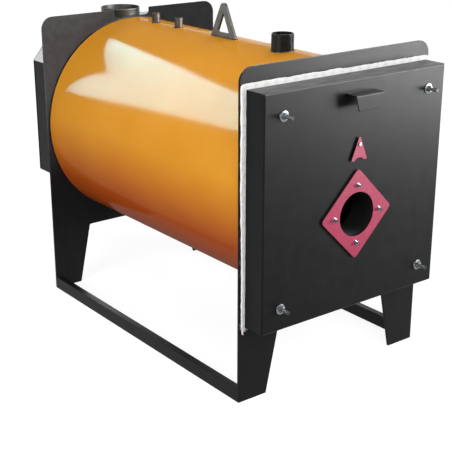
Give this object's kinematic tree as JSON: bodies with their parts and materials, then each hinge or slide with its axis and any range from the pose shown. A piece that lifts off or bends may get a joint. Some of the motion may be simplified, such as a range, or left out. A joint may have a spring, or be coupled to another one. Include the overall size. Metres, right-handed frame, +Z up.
{
  "type": "industrial boiler",
  "caption": "Horizontal hot water boiler: a round shell between upright end plates with legs, a square burner door in front and a smoke box with flue collar behind.",
  "frame": {"origin": "on the floor, below the middle of the whole object's box", "axes": "+Z up, -Y out of the burner door, +X to the right of someone facing the door"},
  "size_m": [1.3, 2.444, 1.917],
  "materials": {
    "plate_paint": "satin charcoal paint",
    "shell_paint": "glossy orange ochre enamel",
    "red_paint": "satin raspberry red paint",
    "zinc_steel": "bright zinc plate",
    "bare_steel": "bare mill steel",
    "light_steel": "light grey coated sheet",
    "furnace_steel": "dark heat-tinted steel",
    "lining": "rough cast refractory",
    "rope": "white ceramic fibre rope",
    "sight_glass": "clear heat-resistant glass"
  },
  "bodies": {
    "boiler": {"front_end_plate": "plate_paint", "rear_end_plate": "plate_paint", "left_skid_rail": "plate_paint", "right_skid_rail": "plate_paint", "boiler_shell": "shell_paint", "furnace_tube": "furnace_steel", "furnace_head": "furnace_steel", "door_pan": "plate_paint", "door_lining": "lining", "door_gasket": "rope", "door_studs": "zinc_steel", "door_washers": "zinc_steel", "door_nuts": "zinc_steel", "burner_plate": "red_paint", "burner_studs": "zinc_steel", "sight_tube": "bare_steel", "sight_glass": "sight_glass", "sight_cover_spacer": "zinc_steel", "sight_cover_screw": "zinc_steel", "door_handle": "plate_paint", "lifting_lug": "bare_steel", "flow_nozzle": "plate_paint", "middle_socket": "bare_steel", "rear_socket": "bare_steel", "smoke_box_left_wall": "plate_paint", "smoke_box_right_wall": "plate_paint", "smoke_hood_left_slope": "light_steel", "smoke_hood_right_slope": "light_steel", "smoke_box_floor": "plate_paint", "smoke_hood_top": "light_steel", "smoke_box_cover": "plate_paint", "flue_collar": "light_steel"},
    "sight_flap": {"sight_cover": "red_paint"}
  },
  "joints": [
    {"name": "sight_cover_swing", "type": "hinge", "parent": "boiler", "child": "sight_flap", "pos_m": [0, -1.1575, 1.331], "axis": [0, -1, 0], "range_deg": [-100, 100]}
  ]
}
